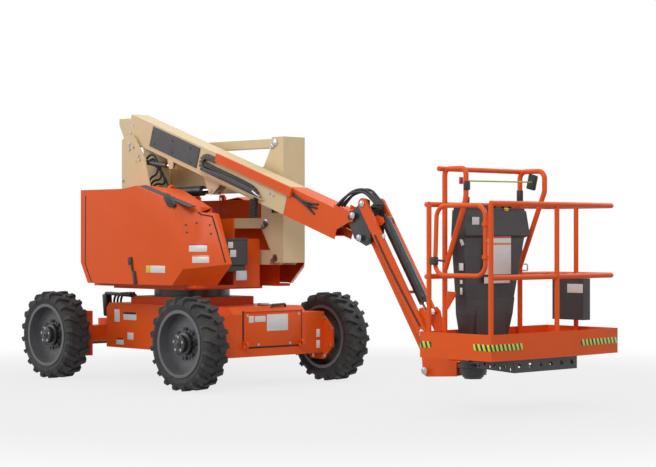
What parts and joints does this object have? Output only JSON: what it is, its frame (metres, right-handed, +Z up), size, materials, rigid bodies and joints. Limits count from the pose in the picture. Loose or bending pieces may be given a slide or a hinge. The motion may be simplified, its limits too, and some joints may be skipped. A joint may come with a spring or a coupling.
{
  "type": "articulating boom lift",
  "caption": "Wheeled aerial work platform: swinging turret, two-arm tower, telescopic boom, jib and a caged platform with console and gate.",
  "frame": {"origin": "on the ground under the middle of the machine's bounding box", "axes": "+X forward from the steered axle toward the platform, +Y to the machine's left, +Z up"},
  "size_m": [5.705, 1.9302, 2.4871],
  "materials": {
    "orange_paint": "gloss",
    "cream_paint": "gloss",
    "black_paint": "semi-gloss",
    "dark_grey_paint": "semi-gloss",
    "rim_paint": "satin",
    "tyre_rubber": "matte",
    "rod_chrome": "polished",
    "dark_plastic": "matte",
    "chain_plastic": "matte",
    "engine_iron": "rough"
  },
  "bodies": {
    "chassis": {"chassis_frame": "orange_paint", "drive_axle": "orange_paint", "steer_axle": "orange_paint", "slew_ring": "black_paint"},
    "knuckle_right": {"steering_knuckle_right": "orange_paint"},
    "knuckle_left": {"steering_knuckle_left": "orange_paint"},
    "tie_rod": {"tie_rod": "dark_grey_paint"},
    "turret": {"turret_frame": "orange_paint", "counterweight": "dark_grey_paint", "power_block": "engine_iron", "ground_control_box": "dark_plastic"},
    "hood_right": {"hood_right": "orange_paint"},
    "hood_left": {"hood_left": "orange_paint"},
    "lower_arm": {"lower_arm": "cream_paint"},
    "lower_link": {"lower_link": "cream_paint"},
    "mid_upright": {"mid_upright": "cream_paint"},
    "upper_arm": {"upper_arm": "cream_paint"},
    "upper_link": {"upper_link": "cream_paint"},
    "upper_upright": {"upper_upright": "cream_paint"},
    "tower_barrel": {"tower_cylinder": "black_paint"},
    "tower_rod": {"tower_cylinder_rod": "rod_chrome"},
    "main_boom": {"main_boom": "cream_paint", "boom_cover": "black_paint", "energy_chain": "chain_plastic"},
    "lift_barrel": {"lift_cylinder": "black_paint"},
    "lift_rod": {"lift_cylinder_rod": "rod_chrome"},
    "level_barrel": {"level_cylinder": "black_paint"},
    "level_rod": {"level_cylinder_rod": "rod_chrome"},
    "fly": {"fly_boom": "orange_paint", "slave_cylinder": "black_paint"},
    "slave_rod": {"slave_cylinder_rod": "rod_chrome"},
    "level_bracket": {"level_bracket": "black_paint"},
    "jib": {"jib_arm": "orange_paint"},
    "jib_link": {"jib_link": "orange_paint"},
    "jib_barrel": {"jib_cylinder": "black_paint"},
    "jib_rod": {"jib_cylinder_rod": "rod_chrome"},
    "platform_bracket": {"platform_bracket": "orange_paint", "rotator": "black_paint"},
    "platform": {"underframe": "black_paint", "platform_floor": "orange_paint", "platform_rails": "orange_paint", "control_console": "dark_plastic", "document_box": "dark_plastic"},
    "gate": {"platform_gate": "orange_paint"},
    "wheel_front_right": {"tyre_front_right": "tyre_rubber", "rim_front_right": "rim_paint", "hub_front_right": "black_paint"},
    "wheel_front_left": {"tyre_front_left": "tyre_rubber", "rim_front_left": "rim_paint", "hub_front_left": "black_paint"},
    "wheel_rear_right": {"tyre_rear_right": "tyre_rubber", "rim_rear_right": "rim_paint", "hub_rear_right": "black_paint"},
    "wheel_rear_left": {"tyre_rear_left": "tyre_rubber", "rim_rear_left": "rim_paint", "hub_rear_left": "black_paint"}
  },
  "joints": [
    {"name": "steer_right", "type": "hinge", "parent": "chassis", "child": "knuckle_right", "pos_m": [-2.4475, -0.6, 0.405], "axis": [0, 0, 1], "range_deg": [-30, 30]},
    {"name": "steer_left", "type": "hinge", "parent": "chassis", "child": "knuckle_left", "pos_m": [-2.4475, 0.6, 0.405], "axis": [0, 0, 1], "range_deg": [-30.2, 30.2]},
    {"name": "tie_rod_swing", "type": "hinge", "parent": "knuckle_right", "child": "tie_rod", "pos_m": [-2.5975, -0.6, 0.3], "axis": [0, 0, 1], "range_deg": [-30.2, 30.2]},
    {"name": "front_right_roll", "type": "hinge", "parent": "chassis", "child": "wheel_front_right", "pos_m": [-0.4875, -0.835, 0.405], "axis": [0, 1, 0], "continuous": true},
    {"name": "front_left_roll", "type": "hinge", "parent": "chassis", "child": "wheel_front_left", "pos_m": [-0.4875, 0.835, 0.405], "axis": [0, 1, 0], "continuous": true},
    {"name": "rear_right_roll", "type": "hinge", "parent": "knuckle_right", "child": "wheel_rear_right", "pos_m": [-2.4475, -0.835, 0.405], "axis": [0, 1, 0], "continuous": true},
    {"name": "rear_left_roll", "type": "hinge", "parent": "knuckle_left", "child": "wheel_rear_left", "pos_m": [-2.4475, 0.835, 0.405], "axis": [0, 1, 0], "continuous": true},
    {"name": "swing", "type": "hinge", "parent": "chassis", "child": "turret", "pos_m": [-1.4675, 0, 0.84], "axis": [0, 0, 1], "range_deg": [-177.5, 177.5]},
    {"name": "hood_right_open", "type": "hinge", "parent": "turret", "child": "hood_right", "pos_m": [-1.4675, -0.162, 1.782], "axis": [-1, 0, 0], "range_deg": [0, 60]},
    {"name": "hood_left_open", "type": "hinge", "parent": "turret", "child": "hood_left", "pos_m": [-1.4675, 0.459, 1.702], "axis": [1, 0, 0], "range_deg": [0, 60]},
    {"name": "tower_raise", "type": "hinge", "parent": "turret", "child": "lower_arm", "pos_m": [-2.0675, 0, 1.12], "axis": [0, -1, 0], "range_deg": [0, 68]},
    {"name": "lower_link_swing", "type": "hinge", "parent": "turret", "child": "lower_link", "pos_m": [-2.1935, 0, 1.44], "axis": [0, -1, 0], "range_deg": [-0.14, 68.14]},
    {"name": "mid_upright_level", "type": "hinge", "parent": "lower_arm", "child": "mid_upright", "pos_m": [-0.5075, 0, 1.12], "axis": [0, -1, 0], "range_deg": [-68.14, 0.14]},
    {"name": "upper_arm_raise", "type": "hinge", "parent": "mid_upright", "child": "upper_arm", "pos_m": [-0.6335, 0, 1.84], "axis": [0, -1, 0], "range_deg": [-68.14, 0.14]},
    {"name": "upper_link_swing", "type": "hinge", "parent": "mid_upright", "child": "upper_link", "pos_m": [-0.5075, 0, 2.16], "axis": [0, -1, 0], "range_deg": [-68.14, 0.14]},
    {"name": "upper_upright_level", "type": "hinge", "parent": "upper_arm", "child": "upper_upright", "pos_m": [-2.1935, 0, 1.84], "axis": [0, -1, 0], "range_deg": [-0.14, 68.14]},
    {"name": "tower_cylinder_swing", "type": "hinge", "parent": "upper_arm", "child": "tower_barrel", "pos_m": [-0.7175, 0.3, 1.745], "axis": [0, -1, 0], "range_deg": [-0.16, 78.31]},
    {"name": "tower_cylinder_stroke", "type": "slide", "parent": "tower_barrel", "child": "tower_rod", "axis": [0.0063, 0, -1], "range_m": [-0.00078, 0.33915]},
    {"name": "boom_lift", "type": "hinge", "parent": "upper_upright", "child": "main_boom", "pos_m": [-2.2575, 0, 2.2], "axis": [0, -1, 0], "range_deg": [0, 90]},
    {"name": "lift_cylinder_swing", "type": "hinge", "parent": "upper_upright", "child": "lift_barrel", "pos_m": [-2.2675, 0, 1.722], "axis": [0, -1, 0], "range_deg": [-0.15, 72.67]},
    {"name": "lift_cylinder_stroke", "type": "slide", "parent": "lift_barrel", "child": "lift_rod", "axis": [0.9998, 0, 0.0196], "range_m": [-0.00117, 0.53592]},
    {"name": "level_cylinder_swing", "type": "hinge", "parent": "upper_upright", "child": "level_barrel", "pos_m": [-2.1475, 0, 2.035], "axis": [0, -1, 0], "range_deg": [-0.18, 88.61]},
    {"name": "level_cylinder_stroke", "type": "slide", "parent": "level_barrel", "child": "level_rod", "axis": [0.9926, 0, -0.1215], "range_m": [-0.00066, 0.2806]},
    {"name": "boom_extend", "type": "slide", "parent": "main_boom", "child": "fly", "axis": [0.9489, 0, -0.3156], "range_m": [0, 1.4]},
    {"name": "nose_level", "type": "hinge", "parent": "fly", "child": "level_bracket", "pos_m": [0.7225, 0, 1.47798], "axis": [0, -1, 0], "range_deg": [-90.18, 0.18]},
    {"name": "slave_cylinder_stroke", "type": "slide", "parent": "fly", "child": "slave_rod", "axis": [0.9489, 0, -0.3156], "range_m": [-0.23256, 0.00056]},
    {"name": "jib_raise", "type": "hinge", "parent": "level_bracket", "child": "jib", "pos_m": [0.8825, 0, 1.58998], "axis": [0, -1, 0], "range_deg": [-3, 141]},
    {"name": "jib_link_swing", "type": "hinge", "parent": "level_bracket", "child": "jib_link", "pos_m": [0.9125, 0, 1.28798], "axis": [0, -1, 0], "range_deg": [-3.29, 141.29]},
    {"name": "platform_level", "type": "hinge", "parent": "jib", "child": "platform_bracket", "pos_m": [1.55785, 0, 0.55003], "axis": [0, -1, 0], "range_deg": [-141.29, 3.29]},
    {"name": "jib_cylinder_swing", "type": "hinge", "parent": "jib", "child": "jib_barrel", "pos_m": [1.04992, 0, 1.44235], "axis": [0, -1, 0], "range_deg": [-0.7836, 0.0183]},
    {"name": "jib_cylinder_stroke", "type": "slide", "parent": "jib_barrel", "child": "jib_rod", "axis": [0.5465, 0, -0.8374], "range_m": [-0.00725, 0.30732]},
    {"name": "platform_turn", "type": "hinge", "parent": "platform_bracket", "child": "platform", "pos_m": [1.9975, 0, 0.36], "axis": [0, 0, 1], "range_deg": [-90, 90]},
    {"name": "gate_open", "type": "hinge", "parent": "platform", "child": "gate", "pos_m": [2.7555, -0.7217, 1.28], "axis": [0, 0, -1], "range_deg": [0, 80]}
  ],
  "couplings": [
    {"joint": "steer_left", "follows": "steer_right", "ratio": 1},
    {"joint": "tie_rod_swing", "follows": "steer_right", "ratio": -1},
    {"joint": "lower_link_swing", "follows": "tower_raise", "ratio": 1},
    {"joint": "mid_upright_level", "follows": "tower_raise", "ratio": -1},
    {"joint": "upper_arm_raise", "follows": "tower_raise", "ratio": -1},
    {"joint": "upper_link_swing", "follows": "tower_raise", "ratio": -1},
    {"joint": "upper_upright_level", "follows": "tower_raise", "ratio": 1},
    {"joint": "tower_cylinder_swing", "follows": "tower_raise", "ratio": 1.1493},
    {"joint": "tower_cylinder_stroke", "follows": "tower_raise", "m_per_rad": 0.28511},
    {"joint": "lift_cylinder_swing", "follows": "boom_lift", "ratio": 0.80578},
    {"joint": "lift_cylinder_stroke", "follows": "boom_lift", "m_per_rad": 0.34043},
    {"joint": "level_cylinder_swing", "follows": "boom_lift", "ratio": 0.98258},
    {"joint": "level_cylinder_stroke", "follows": "boom_lift", "m_per_rad": 0.17821},
    {"joint": "nose_level", "follows": "boom_lift", "ratio": -1},
    {"joint": "slave_cylinder_stroke", "follows": "boom_lift", "m_per_rad": -0.1477},
    {"joint": "jib_link_swing", "follows": "jib_raise", "ratio": 1},
    {"joint": "platform_level", "follows": "jib_raise", "ratio": -1},
    {"joint": "jib_cylinder_swing", "follows": "jib_raise", "ratio": -0.0055452},
    {"joint": "jib_cylinder_stroke", "follows": "jib_raise", "m_per_rad": 0.12458}
  ]
}
